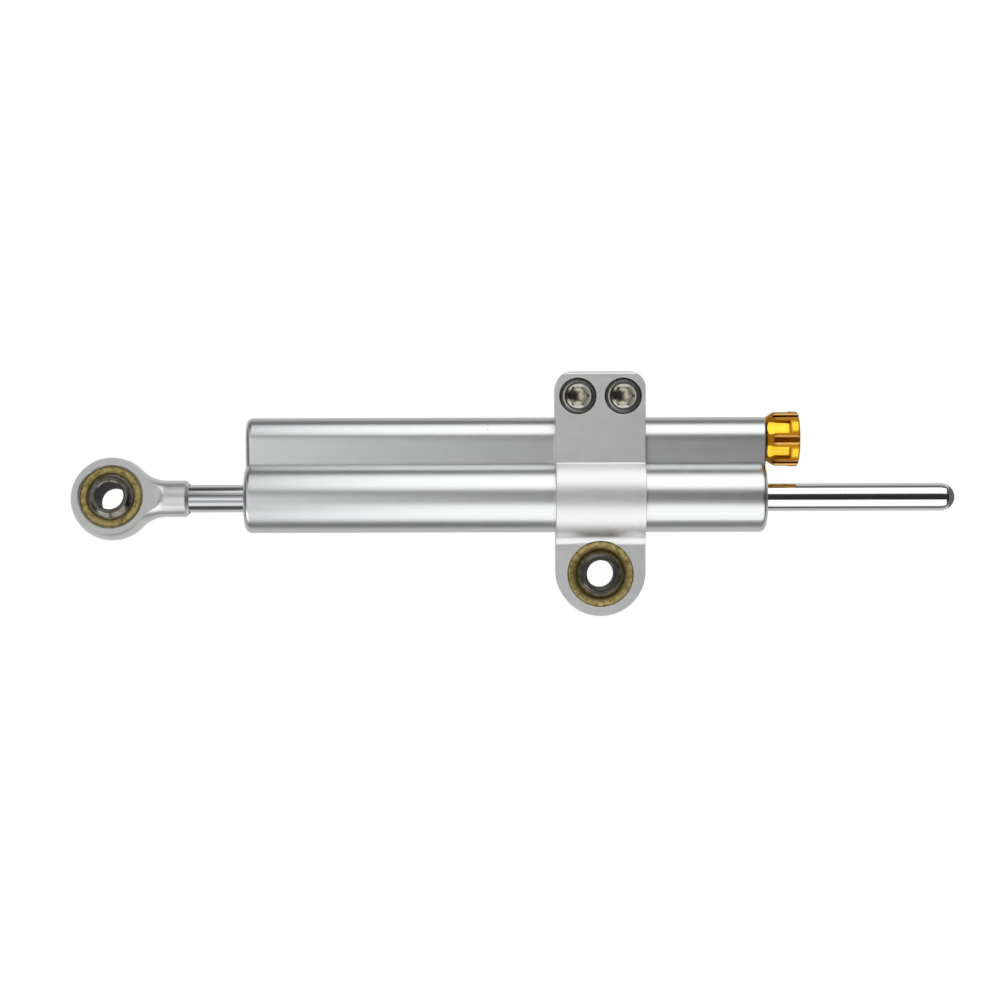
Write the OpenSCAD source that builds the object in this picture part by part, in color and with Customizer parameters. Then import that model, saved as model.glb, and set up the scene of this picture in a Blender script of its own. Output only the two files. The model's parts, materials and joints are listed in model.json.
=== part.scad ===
// Motorcycle steering damper: a through-rod damper held in a split block clamp, lying flat.
// X runs along the rod towards the adjuster knob, Y runs from the clamp's eye to its screws,
// and Z is up. The origin is the centre of the ball bore in the clamp's eye.

/* [Body] */
// Length of the damper body
body_length = 150.5; // [140:0.5:180]
// Diameter of the main tube
body_d = 20; // [19.5:0.1:22]
// Diameter of the side lobe
lobe_d = 12.8; // [12.4:0.1:14]
// Height of the lobe's axis above the rod's axis
lobe_rise = 17; // [16:0.1:19]
// Angle by which the web's front face leans away from flat
web_tilt = 6; // [2:0.5:10]
// Edge radius at the body's ends
end_round = 1.8; // [0.8:0.1:2]
// Radius along the lobe's end at the knob
knob_end_round = 0.3; // [0.2:0.1:1]
// Distance from the clamp's middle to the body's right end
clamp_to_end = 47.9; // [20:0.1:60]

/* [Main bore and glands] */
// Diameter of the main bore
bore_d = 14; // [13:0.1:14.4]
// Step from the main bore out to the gland seat, on the radius
gland_step = 0.8; // [0.7:0.05:0.9]
// Depth of the gland seat from the body's end face
seat_depth = 22; // [20:0.5:26]
// Distance from the end face to the circlip
clip_inset = 1.2; // [0.8:0.1:2]
// Thickness of the gland circlips
clip_t = 1; // [0.8:0.1:1.2]
// Depth of the circlip grooves, on the radius
clip_groove = 0.6; // [0.4:0.05:0.7]
// Length of the rod wipers in their pockets
wiper_length = 3.5; // [2.5:0.1:4]
// Length of the rod seals
seal_length = 3.4; // [2.5:0.1:4]
// Outer diameter of the seals and wipers
seal_d = 12; // [11:0.1:12.4]
// Length of the guide bushes
bush_length = 9; // [6:0.5:10]
// Outer diameter of the guide bushes
bush_d = 10; // [9.4:0.1:10.6]
// Thickness of the round seal rings
ring_t = 1.3; // [1.1:0.05:1.4]

/* [Rod and piston] */
// Diameter of the rod
rod_d = 8; // [7.4:0.1:8.4]
// Bare rod between the body and the rod end
rod_left_out = 15.9; // [12:0.1:30]
// Bare rod beyond the body's right end, tip included
rod_right_out = 54.9; // [40:0.1:70]
// Rod that still stands out on the right when it is pushed fully left
rod_tail_rest = 2.9; // [2:0.1:8]
// Diameter of the threaded stud in the rod end
stud_d = 6; // [5:0.1:6.4]
// Length of the threaded stud
stud_length = 10; // [8:0.1:10.4]
// Length of the piston
piston_length = 12; // [10:0.1:14]
// Gap between the piston and the bore, on the radius
piston_gap = 0.2; // [0.15:0.01:0.3]
// Width of the piston's guide band
band_w = 6; // [4:0.1:7]
// Thickness of the piston's guide band
band_t = 0.45; // [0.4:0.01:0.6]
// Outer diameter of the piston's circlips
piston_clip_d = 11; // [10.6:0.1:12]

/* [Rod end] */
// Diameter of the turned eye
eye_d = 24; // [23.5:0.1:28]
// Width of the eye across its flats
eye_w = 9; // [9:0.1:9.8]
// Diameter of the neck
neck_d = 10.5; // [10.2:0.1:12]
// Distance from the eye's centre to the neck's end
eye_to_neck = 22.8; // [21.6:0.1:27]
// Radius of the fillet from the eye into the neck
neck_fillet = 10; // [6:0.1:10.5]
// Chamfer at the neck's end
neck_chamfer = 1.3; // [0.4:0.1:1.5]
// Angle by which the rod end is turned about the rod
rod_turn = 10; // [0:1:20]

/* [Ball bearings] */
// Diameter of the balls
ball_d = 15.875; // [15.5:0.025:16]
// Diameter of the balls' bolt bore
ball_bore = 8; // [6:0.1:8.6]
// Width of the balls
ball_w = 12; // [10:0.1:12.4]
// Chamfer on the balls' bores
ball_chamfer = 0.35; // [0.2:0.05:0.5]
// Outer diameter of the rod end's race
rod_race_d = 17.8; // [17.4:0.1:18.6]
// Chamfer round the rod end's seat for its race
seat_chamfer = 0.6; // [0.3:0.05:0.8]
// Outer diameter of the clamp's race
clamp_race_d = 19; // [18.4:0.1:20]
// Depth of the cone in the faces of the clamp's race
cone_depth = 0.9; // [0.4:0.05:1.2]

/* [Clamp] */
// Width of the clamp along the rod
clamp_w = 25.8; // [25:0.1:32]
// Height of the clamp's top above the rod's axis
clamp_top = 36.2; // [35:0.1:40]
// Distance from the rod's axis to the centre of the clamp's bearing
eye_drop = 22; // [22:0.1:28]
// Wall of the clamp around the main tube
clamp_wall = 2.6; // [2:0.1:4]
// Height of the clamp's upper front face above the rod's axis
clamp_front = 7.4; // [6.8:0.1:9]
// Thickness of the clamp's eye
clamp_eye_t = 9; // [8.6:0.1:11]
// Height of the eye's outline centre above the bearing
eye_shift = 0.75; // [0:0.05:1.5]
// Radius of the fillets between the bulge and the eye
clamp_fillet = 4.2; // [2:0.1:4.6]
// Radius of the clamp's top corners
clamp_corner = 4.5; // [2:0.1:5.5]
// Radius along the clamp's top edges
clamp_edge = 0.8; // [0.3:0.1:1.5]
// Width of the slit between the clamp's ears
slit_w = 1.6; // [1:0.1:2.4]

/* [Clamp screws] */
// Distance between the two screws
screw_spacing = 13; // [12.6:0.1:13.4]
// Height of the screws above the rod's axis
screw_rise = 29.2; // [28.8:0.1:29.8]
// Diameter of the screws
screw_d = 6; // [5:0.1:6]
// Diameter of the screw heads
head_d = 10; // [9:0.1:10.2]
// Height of the screw heads
head_h = 6; // [5:0.1:6]
// Width of the hex sockets across their flats
hex_w = 5; // [4:0.1:5.5]
// Depth of the hex sockets
hex_depth = 3; // [2:0.1:4]
// Depth of the heads below the clamp's front face
head_recess = 0.6; // [0.1:0.1:1]
// Room round the heads, on the radius
head_room = 0.3; // [0.2:0.05:0.4]
// Bare thread beyond the screws' tips
screw_short = 1; // [0.5:0.1:3]

/* [Adjuster] */
// Diameter of the knob
knob_d = 16; // [15:0.1:18]
// Length of the knob
knob_length = 9.4; // [9:0.1:12]
// Gap between the knob and the body
knob_gap = 0.5; // [0.4:0.05:1]
// Length of the knob's taper
taper_length = 2.5; // [1:0.1:3]
// Height of the knob's taper, on the radius
taper_rise = 1.45; // [0.5:0.05:1.6]
// Radius of the knob's outer edge
knob_round = 0.8; // [0.5:0.1:1.5]
// How many scallops and how many slots the knob has
grip_count = 6; // [4:1:7]
// Width of the scallops
scallop_w = 4.2; // [3:0.1:4.6]
// Length of the scallops
scallop_length = 6.6; // [5:0.1:7.5]
// Depth of the scallops
scallop_depth = 1.45; // [0.8:0.05:1.6]
// Width of the narrow slots
slot_w = 1.5; // [1:0.1:2]
// Length of the narrow slots
slot_length = 7.6; // [5:0.1:8]
// Depth of the narrow slots
slot_depth = 1.2; // [0.8:0.05:1.4]
// Chamfer along the narrow slots
slot_chamfer = 0.35; // [0.1:0.05:0.4]
// Turn of the knob's pattern from the body's front
knob_turn = 3.5; // [0:0.5:30]
// Diameter of the adjuster spindle
spindle_d = 4; // [3.6:0.1:4]
// Diameter of the knob's screw
knob_screw_d = 2.5; // [2:0.1:2.5]
// Diameter of the knob screw's head
knob_head_d = 4.5; // [4:0.1:5]
// Height of the knob screw's head
knob_head_h = 2.5; // [2:0.1:2.8]
// Diameter of the click ball
click_d = 1.5; // [1.2:0.1:1.5]
// Distance of the click ball from the knob's axis
click_r = 3.5; // [3.3:0.05:3.6]

/* [Valve and reservoir] */
// Diameter of the bores in the lobe
lobe_bore = 9; // [8.8:0.05:9.2]
// Depth of the valve bore from the right end
valve_depth = 34; // [33.5:0.5:40]
// Depth of the reservoir bore from the left end
reservoir_depth = 34; // [33:0.5:40]
// Diameter of the gallery between the two bores
gallery_d = 3; // [2:0.1:4]
// Diameter of the ports between the main bore and the lobe
port_d = 2.5; // [1.5:0.1:3]
// Distance from the body's left end to the reservoir port
reservoir_port = 30.5; // [30:0.1:32]
// Distance from the body's right end to the valve port
valve_port = 27.5; // [27:0.1:28]
// Diameter of the needle's chamber
needle_bore = 6; // [5.6:0.1:6]
// Diameter of the orifice that the needle closes
orifice_d = 2; // [1.4:0.1:2.2]
// Length of the reservoir's plug
plug_length = 6; // [5:0.1:6.5]
// Length of the compensator's spring at rest
spring_length = 8.5; // [8:0.1:9]
// Thickness of the compensator spring's wire
spring_wire = 0.8; // [0.6:0.05:0.9]
// How many turns the compensator's spring has
spring_turns = 4; // [3:1:5]
// Length of the compensator's piston
compensator_length = 6; // [5:0.1:6.5]

/* [Fits] */
// Gap of a sliding or turning fit, on the radius
running = 0.04; // [0.02:0.01:0.08]
// Gap of pieces that are pressed or screwed together, on the radius
seat = 0.02; // [0.01:0.005:0.03]
// Gap between the clamp and the body
clamp_gap = 0.05; // [0.03:0.01:0.08]
// Gap between flat faces that don't touch
face_gap = 0.05; // [0.03:0.01:0.1]

/* [Hidden] */

$fn = 72;

// Length by which a cutting tool runs past the face it cuts
past = 1;
// Depth by which a face lies under the curve it runs into, so that the two meet in an edge
sink = 0.05;
left = -1;
right = 1;

// Places of the axes and of the body's ends
rod_y = eye_drop;
lobe_y = rod_y + lobe_rise;
lobe_z = (lobe_d - body_d) / 2;
axis_distance = norm([lobe_rise, lobe_z]);
x_right = clamp_to_end;
x_left = x_right - body_length;
x_middle = (x_left + x_right) / 2;

// Glands, measured inwards from the body's end face
seat_d = bore_d + 2 * gland_step;
gland_d = seat_d - 2 * running;
clip_groove_d = seat_d + 2 * clip_groove;
clip_end = clip_inset + clip_t;
gland_start = clip_end + face_gap;
pocket_depth = gland_start + wiper_length + seal_length + 3 * face_gap;
bush_start = seat_depth - bush_length;
gland_ring_at = seat_depth - bush_length / 2;
wiper_lip = 0.9;
rod_room = 0.3;

// Rod and piston
neck_end = x_left - rod_left_out;
eye_x = neck_end - eye_to_neck;
rod_tip = x_right + rod_right_out;
travel_right = rod_left_out - rod_room;
travel_left = rod_right_out - rod_tail_rest;
piston_x = x_middle + (travel_left - travel_right) / 2;
piston_left = piston_x - piston_length / 2;
piston_right = piston_x + piston_length / 2;
rod_clip_t = 0.9;
rod_clip_groove_d = rod_d - 1.2;
rod_recess = 0.8;
band_outer = bore_d - 2 * running;
band_inner = band_outer - 2 * band_t;
band_groove_d = band_inner - 2 * ring_t;
piston_d = bore_d - 2 * piston_gap;

// Rod end: the fillet touches both the turned eye and the neck
neck_r = neck_d / 2;
eye_r = eye_d / 2;
fillet_r_at = neck_r + neck_fillet;
fillet_x = eye_x + sqrt(pow(eye_r + neck_fillet, 2) - pow(fillet_r_at, 2));
touch_share = eye_r / (eye_r + neck_fillet);
flat_end = fillet_x - 2.6;
ramp_length = 2;

// Clamp
clamp_x = clamp_w / 2;
bulge_r = body_d / 2 + clamp_wall;
clamp_top_y = rod_y + clamp_top;
eye_half = clamp_eye_t / 2;
clamp_fillet_z = eye_half + clamp_fillet - sink;
clamp_fillet_drop = sqrt(pow(bulge_r + clamp_fillet - sink, 2) - pow(clamp_fillet_z, 2));
clamp_touch = bulge_r / (bulge_r + clamp_fillet);
screw_y = rod_y + screw_rise;
head_seat_z = clamp_front - head_recess - head_h;
counterbore_d = head_d + 2 * head_room;
race_edge = 0.3;

// Adjuster and valve, measured inwards from the body's right end face
cartridge_start = 0.2;
cartridge_end = valve_depth - 0.6;
cartridge_d = lobe_bore - 2 * seat;
front_wall = 5;
groove_floor_d = lobe_bore - 2 * ring_t / 1.35;
small_ring_w = 1.5;
collar_length = 1.4;
needle_start = 13.5;
needle_length = 8;
orifice_start = cartridge_end - 3;
needle_tip = orifice_start + 0.6;
spindle_end = needle_start + 5.5;
spindle_thread_d = 3;
key_flat = needle_bore / 2 - 0.6;
spindle_seat = 5;
click_groove = 0.3;
click_spring_length = 2.8;
click_wire = 0.25;

// Reservoir, measured inwards from the body's left end face
plug_start = gland_start;
plug_end = plug_start + plug_length;
spring_end = plug_end + face_gap + spring_length;
compensator_start = spring_end + face_gap;
compensator_end = compensator_start + compensator_length;
spring_d = lobe_bore - 0.6;

knob_start = x_right + knob_gap;
knob_end = knob_start + knob_length;

// Places its children about the rod's axis, with their Z along the rod
module about_rod() {
  translate([0, rod_y, 0]) rotate([0, 90, 0]) children();
}

// Places its children about the lobe's axis, with their Z along it
module about_lobe() {
  translate([0, lobe_y, lobe_z]) rotate([0, 90, 0]) children();
}

// Places its children at one end of the main tube, with their Z pointing into it
module from_end(side) {
  translate([side == right ? x_right : x_left, rod_y, 0]) rotate([0, -90 * side, 0]) children();
}

// Places its children at one end of the lobe, with their Z pointing into it
module from_lobe_end(side) {
  translate([side == right ? x_right : x_left, lobe_y, lobe_z]) rotate([0, -90 * side, 0]) children();
}

// Extrudes a shape drawn in Y and Z along X
module along_x(start, end) {
  translate([start, 0, 0]) rotate([90, 0, 90]) linear_extrude(end - start) children();
}

// Turns its children about the rod, as the rod end is turned
module rod_end_turn() {
  translate([0, rod_y, 0]) rotate([-rod_turn, 0, 0]) children();
}

module bar(start, end, d) {
  translate([0, 0, start]) cylinder(d = d, h = end - start);
}

module tube(start, end, outer, inner) {
  difference() {
    bar(start, end, outer);
    bar(start - past, end + past, inner);
  }
}

// A groove turned into the outside of a bar
module outer_groove(start, end, outer, inner) {
  tube(start, end, outer + 2 * past, inner);
}

// A round ring that fills the space between two diameters
module o_ring(at, outer, inner) {
  translate([0, 0, at]) rotate_extrude() translate([(outer + inner) / 4, 0]) circle(d = (outer - inner) / 2);
}

// Profile of a bar whose two end edges are rounded
module rounded_bar(start, end, r, start_edge, end_edge) {
  translate([0, start]) square([r - start_edge, 2 * start_edge]);
  translate([0, start + start_edge]) square([r, end - start - start_edge - end_edge]);
  translate([0, end - 2 * end_edge]) square([r - end_edge, 2 * end_edge]);
  translate([r - start_edge, start + start_edge]) circle(r = start_edge);
  translate([r - end_edge, end - end_edge]) circle(r = end_edge);
}

// An inner circlip with its gap and its two plier holes
module circlip(start, thickness, outer) {
  ring_w = outer / 13;
  lug = outer / 6.5;
  hole = lug / 2.2;
  lug_at = outer / 2 - lug / 2;
  lug_turn = 14;
  difference() {
    union() {
      tube(start, start + thickness, outer, outer - 2 * ring_w);
      for (side = [left, right]) rotate([0, 0, side * lug_turn]) translate([lug_at, 0, 0])
        bar(start, start + thickness, lug);
    }
    translate([0, -lug / 4, start - past]) cube([outer, lug / 2, thickness + 2 * past]);
    for (side = [left, right]) rotate([0, 0, side * lug_turn]) translate([lug_at, 0, 0])
      bar(start - past, start + thickness + past, hole);
  }
}

// Points of a coil spring: rings of the wire's outline, one after the other along the helix
coil_steps = 8;
coil_sides = 6;
function coil_rings(turns, length, r, wire) = [
  for (i = [0 : turns * coil_steps])
    let (angle = 360 * i / coil_steps)
    let (z = wire / 2 + (length - wire) * i / (turns * coil_steps))
    let (climb = atan2((length - wire) / turns, 2 * PI * r))
    for (j = [0 : coil_sides - 1])
      let (turn = 360 * j / coil_sides)
      let (out = r + wire / 2 * cos(turn))
      let (aside = wire / 2 * sin(turn))
      [out * cos(angle) + aside * sin(climb) * sin(angle),
       out * sin(angle) - aside * sin(climb) * cos(angle),
       z + aside * cos(climb)]
];
function coil_faces(turns) = concat(
  [for (j = [1 : coil_sides - 2]) [0, j, j + 1]],
  [for (i = [0 : turns * coil_steps - 1], j = [0 : coil_sides - 1], half = [0, 1])
    let (a = i * coil_sides + j)
    let (b = i * coil_sides + (j + 1) % coil_sides)
    half == 0 ? [a, a + coil_sides, b + coil_sides] : [a, b + coil_sides, b]],
  [for (j = [1 : coil_sides - 2])
    let (last = turns * coil_steps * coil_sides)
    [last, last + j + 1, last + j]]
);

// A coil spring of one unbroken wire, with the gap between its turns printed
module coil_spring(start, length, outer, wire, turns) {
  rings = coil_rings(turns, length, (outer - wire) / 2, wire);
  turn_points = coil_steps * coil_sides;
  echo(gap_between_turns = min([
    for (i = [0 : len(rings) - turn_points - 1], j = [0 : coil_sides - 1])
      norm(rings[i] - rings[i - i % coil_sides + turn_points + j])]));
  translate([0, 0, start]) polyhedron(points = rings, faces = coil_faces(turns));
}

// Section of the web, drawn in Y and Z and grown all round by a gap
module web_section(grow) {
  lobe_r = lobe_d / 2 - sink + grow;
  body_r = body_d / 2 - sink + grow;
  front_y = lobe_y - lobe_r * sin(web_tilt);
  front_z = lobe_z + lobe_r * cos(web_tilt);
  foot_y = rod_y + body_d * 0.4;
  polygon([
    [rod_y, -body_r], [lobe_y, -body_r], [lobe_y, lobe_z], [front_y, front_z],
    [foot_y, front_z - (front_y - foot_y) * tan(web_tilt)], [rod_y, 0]
  ]);
}

module body_section(grow) {
  translate([rod_y, 0]) circle(d = body_d + 2 * grow);
  translate([lobe_y, lobe_z]) circle(d = lobe_d + 2 * grow);
  web_section(grow);
}

// Slab with two rounded long edges at its top, at the body's ends
module rounded_slab() {
  wide = 2 * body_d;
  rotate([90, 0, 0]) translate([0, 0, -wide / 2]) linear_extrude(wide) {
    translate([x_left, -wide]) square([2 * end_round, wide - end_round]);
    translate([x_left + end_round, -wide]) square([body_length - end_round - knob_end_round, wide]);
    translate([x_right - 2 * knob_end_round, -wide]) square([2 * knob_end_round, wide - knob_end_round]);
    translate([x_left + end_round, -end_round]) circle(r = end_round);
    translate([x_right - knob_end_round, -knob_end_round]) circle(r = knob_end_round);
  }
}

module web() {
  lobe_r = lobe_d / 2 - sink;
  intersection() {
    along_x(x_left, x_right) web_section(0);
    translate([0, lobe_y - lobe_r * sin(web_tilt), lobe_z + lobe_r * cos(web_tilt)])
      rotate([web_tilt, 0, 0]) rounded_slab();
    translate([0, lobe_y, sink - body_d / 2]) mirror([0, 0, 1]) rounded_slab();
  }
}

// Port that joins the main bore to the lobe
module port(x) {
  translate([x, rod_y, 0]) rotate([atan2(lobe_z, lobe_rise) - 90, 0, 0]) cylinder(d = port_d, h = axis_distance);
}

module damper_body() {
  color("silver") difference() {
    union() {
      about_rod() rotate_extrude() rounded_bar(x_left, x_right, body_d / 2, end_round, end_round);
      about_lobe() rotate_extrude() rounded_bar(x_left, x_right, lobe_d / 2, end_round, knob_end_round);
      web();
    }
    about_rod() bar(x_left - past, x_right + past, bore_d);
    for (side = [left, right]) from_end(side) {
      bar(-past, seat_depth, seat_d);
      bar(clip_inset, clip_end, clip_groove_d);
    }
    from_lobe_end(right) bar(-past, valve_depth, lobe_bore);
    from_lobe_end(left) {
      bar(-past, reservoir_depth, lobe_bore);
      bar(clip_inset, clip_end, lobe_bore + 2 * clip_groove);
    }
    about_lobe() bar(x_left + reservoir_depth - past, x_right - valve_depth + past, gallery_d);
    port(x_left + reservoir_port);
    port(x_right - valve_port);
  }
}

module gland(side) {
  ring_room = ring_t / 2 + face_gap;
  color("lightgrey") from_end(side) difference() {
    bar(gland_start, seat_depth, gland_d);
    bar(0, seat_depth + past, rod_d + 2 * rod_room);
    bar(0, pocket_depth, seal_d);
    bar(bush_start, seat_depth + past, bush_d);
    outer_groove(gland_ring_at - ring_room, gland_ring_at + ring_room, gland_d, seat_d - 2 * ring_t);
  }
}

module left_gland() {
  gland(left);
}

module right_gland() {
  gland(right);
}

module gland_o_rings() {
  color("dimgrey") for (side = [left, right]) from_end(side)
    o_ring(gland_ring_at, seat_d - 2 * seat, seat_d - 2 * ring_t + 2 * seat);
}

module guide_bushes() {
  color("goldenrod") for (side = [left, right]) from_end(side)
    tube(bush_start, seat_depth, bush_d - 2 * seat, rod_d + 2 * running);
}

// Lip seal with a hollow between its two lips
module rod_seals() {
  start = gland_start + wiper_length + 2 * face_gap;
  lip_d = (seal_d + rod_d) / 2;
  color("dimgrey") for (side = [left, right]) from_end(side) difference() {
    tube(start, start + seal_length, seal_d - 2 * seat, rod_d + 2 * running);
    tube(start + seal_length * 0.55, start + seal_length + past, lip_d + 1, lip_d - 1);
  }
}

// Wiper with a thin lip that leans out along the rod
module rod_wipers() {
  inner_r = rod_d / 2 + running;
  outer_r = seal_d / 2 - seat;
  color("dimgrey") for (side = [left, right]) from_end(side) rotate_extrude() polygon([
    [inner_r, gland_start - wiper_lip], [inner_r + 0.35, gland_start - wiper_lip],
    [inner_r + 0.7, gland_start], [outer_r, gland_start],
    [outer_r, gland_start + wiper_length], [inner_r, gland_start + wiper_length]
  ]);
}

module gland_circlips() {
  color("dimgrey") for (side = [left, right]) from_end(side)
    circlip(clip_inset + face_gap / 2, clip_t - face_gap, clip_groove_d - 2 * face_gap);
}

// Half profile of the rod's domed tip
module dome_profile(at, r) {
  intersection() {
    translate([0, at]) circle(r = r);
    translate([0, at]) square([r, r]);
  }
}

module piston_rod() {
  shoulder = neck_end - rod_recess;
  color("whitesmoke") about_rod() difference() {
    union() {
      bar(shoulder - stud_length, shoulder, stud_d - 2 * seat);
      rotate_extrude() {
        translate([0, shoulder]) square([rod_d / 2, rod_tip - shoulder - rod_d / 2]);
        dome_profile(rod_tip - rod_d / 2, rod_d / 2);
      }
    }
    outer_groove(piston_left - rod_clip_t - face_gap, piston_left, rod_d, rod_clip_groove_d);
    outer_groove(piston_right, piston_right + rod_clip_t + face_gap, rod_d, rod_clip_groove_d);
  }
}

module piston() {
  color("silver") about_rod() difference() {
    tube(piston_left, piston_right, piston_d, rod_d + 2 * seat);
    outer_groove(piston_x - band_w / 2 - running, piston_x + band_w / 2 + running, piston_d, band_inner - 2 * running);
    outer_groove(piston_x - ring_t / 2 - running, piston_x + ring_t / 2 + running, piston_d, band_groove_d);
  }
}

module piston_guide_band() {
  color("ivory") about_rod() tube(piston_x - band_w / 2, piston_x + band_w / 2, band_outer, band_inner);
}

module piston_o_ring() {
  color("dimgrey") about_rod() o_ring(piston_x, band_inner - 2 * running, band_groove_d + 2 * seat);
}

module piston_circlips() {
  color("dimgrey") about_rod() {
    tube(piston_left - rod_clip_t - face_gap / 2, piston_left - face_gap / 2, piston_clip_d, rod_clip_groove_d + 2 * seat);
    tube(piston_right + face_gap / 2, piston_right + rod_clip_t + face_gap / 2, piston_clip_d, rod_clip_groove_d + 2 * seat);
  }
}

// Half profile of the turned rod end: ball-shaped eye, hollow fillet, neck and chamfer
module rod_end_profile() {
  intersection() {
    translate([0, eye_x]) circle(r = eye_r);
    translate([0, eye_x - eye_d]) square([eye_d, 2 * eye_d]);
  }
  difference() {
    polygon([
      [0, eye_x], [fillet_r_at * touch_share, eye_x + (fillet_x - eye_x) * touch_share],
      [neck_r, fillet_x], [0, fillet_x]
    ]);
    translate([fillet_r_at, fillet_x]) circle(r = neck_fillet);
  }
  polygon([
    [0, fillet_x], [neck_r, fillet_x], [neck_r, neck_end - neck_chamfer],
    [neck_r - neck_chamfer, neck_end], [0, neck_end]
  ]);
}

// One of the two flats milled across the eye, with its short ramp out into the neck
module eye_flat() {
  flat_z = eye_w / 2;
  high = eye_d;
  rotate([90, 0, 0]) translate([0, 0, -eye_d]) linear_extrude(2 * eye_d) polygon([
    [eye_x - eye_d, flat_z], [flat_end, flat_z], [flat_end + ramp_length, neck_r + 0.1],
    [flat_end + ramp_length, high], [eye_x - eye_d, high]
  ]);
}

module rod_end_housing() {
  color("silver") rod_end_turn() difference() {
    rotate([0, 90, 0]) rotate_extrude() rod_end_profile();
    eye_flat();
    mirror([0, 0, 1]) eye_flat();
    translate([eye_x, 0, -eye_d]) cylinder(d = rod_race_d, h = 2 * eye_d);
    for (side = [0, 1]) mirror([0, 0, side]) translate([eye_x, 0, eye_w / 2 - seat_chamfer])
      cylinder(r1 = rod_race_d / 2, r2 = rod_race_d / 2 + 2 * seat_chamfer, h = 2 * seat_chamfer);
    rotate([0, 90, 0]) bar(neck_end - rod_recess - stud_length - face_gap, neck_end + past, stud_d);
    rotate([0, 90, 0]) bar(neck_end - rod_recess, neck_end + past, rod_d + 2 * rod_room);
  }
}

// Race of a ball bearing, about the origin, with a cone of a given depth in its faces
module race(outer_d, width, cone) {
  ball_room = ball_d / 2 + running;
  half = width / 2;
  outer_r = outer_d / 2 - seat;
  cone_r = outer_r - race_edge - 0.3;
  mouth_r = sqrt(pow(ball_room, 2) - pow(half - cone, 2));
  inner_r = mouth_r - race_edge;
  inner_z = half - cone * (cone_r - inner_r) / (cone_r - mouth_r);
  rotate_extrude() difference() {
    polygon([
      [0, -inner_z], [inner_r, -inner_z], [cone_r, -half], [outer_r - race_edge, -half],
      [outer_r, race_edge - half], [outer_r, half - race_edge], [outer_r - race_edge, half],
      [cone_r, half], [inner_r, inner_z], [0, inner_z]
    ]);
    circle(r = ball_room);
  }
}

// Ball of a bearing, about the origin, with a chamfered bolt bore
module bored_ball() {
  bore_r = ball_bore / 2;
  difference() {
    intersection() {
      sphere(d = ball_d);
      translate([-ball_d, -ball_d, -ball_w / 2]) cube([2 * ball_d, 2 * ball_d, ball_w]);
    }
    cylinder(d = ball_bore, h = ball_d, center = true);
    for (side = [0, 1]) mirror([0, 0, side]) translate([0, 0, ball_w / 2 - ball_chamfer])
      cylinder(r1 = bore_r, r2 = bore_r + 2 * ball_chamfer, h = 2 * ball_chamfer);
  }
}

module rod_end_race() {
  color("darkkhaki") rod_end_turn() translate([eye_x, 0, 0]) race(rod_race_d, eye_w - 2 * seat_chamfer, 0);
}

module rod_end_ball() {
  color("gainsboro") rod_end_turn() translate([eye_x, 0, 0]) bored_ball();
}

// Side view of the clamp, drawn in Y and Z
module clamp_section() {
  back = -bulge_r;
  block = clamp_top_y - rod_y;
  translate([rod_y, 0]) circle(r = bulge_r);
  translate([rod_y, back]) square([block - clamp_edge, clamp_front - back]);
  translate([rod_y, back + clamp_edge]) square([block, clamp_front - back - 2 * clamp_edge]);
  for (at = [back + clamp_edge, clamp_front - clamp_edge]) translate([clamp_top_y - clamp_edge, at])
    circle(r = clamp_edge);
  translate([-clamp_w, -eye_half]) square([clamp_w + rod_y, 2 * eye_half]);
}

// Both fillets between the bulge and the eye, drawn in Y and Z
module clamp_fillet_section() {
  foot_y = rod_y - clamp_fillet_drop;
  touch_y = rod_y - clamp_fillet_drop * clamp_touch;
  touch_z = clamp_fillet_z * clamp_touch;
  difference() {
    polygon([
      [foot_y, -eye_half], [touch_y, -touch_z], [rod_y, -touch_z],
      [rod_y, touch_z], [touch_y, touch_z], [foot_y, eye_half]
    ]);
    for (side = [left, right]) translate([foot_y, side * clamp_fillet_z]) circle(r = clamp_fillet);
  }
}

// Front view of the clamp, drawn in X and Y
module clamp_outline() {
  straight = clamp_top_y - eye_shift;
  translate([0, eye_shift]) circle(r = clamp_x);
  translate([-clamp_x, eye_shift]) square([clamp_w, straight - clamp_corner]);
  translate([clamp_corner - clamp_x, eye_shift]) square([clamp_w - 2 * clamp_corner, straight]);
  for (side = [left, right]) translate([side * (clamp_x - clamp_corner), clamp_top_y - clamp_corner])
    circle(r = clamp_corner);
}

module clamp() {
  tall = 4 * bulge_r;
  color("silver") difference() {
    intersection() {
      union() {
        along_x(-clamp_x, clamp_x) clamp_section();
        along_x(-clamp_x, clamp_x) clamp_fillet_section();
      }
      translate([0, 0, -tall / 2]) linear_extrude(tall) clamp_outline();
    }
    along_x(-clamp_x - past, clamp_x + past) body_section(clamp_gap);
    translate([-clamp_w, lobe_y, lobe_z - slit_w / 2]) cube([2 * clamp_w, clamp_top, slit_w]);
    cylinder(d = clamp_race_d, h = tall, center = true);
    for (side = [left, right]) translate([side * screw_spacing / 2, screw_y, 0]) {
      translate([0, 0, head_seat_z]) cylinder(d = counterbore_d, h = tall);
      translate([0, 0, lobe_z]) cylinder(d = screw_d + 2 * head_room, h = tall);
      translate([0, 0, -tall]) cylinder(d = screw_d, h = tall);
    }
  }
}

module clamp_race() {
  color("darkkhaki") race(clamp_race_d, clamp_eye_t - 2 * face_gap, cone_depth);
}

module clamp_ball() {
  color("gainsboro") bored_ball();
}

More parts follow.
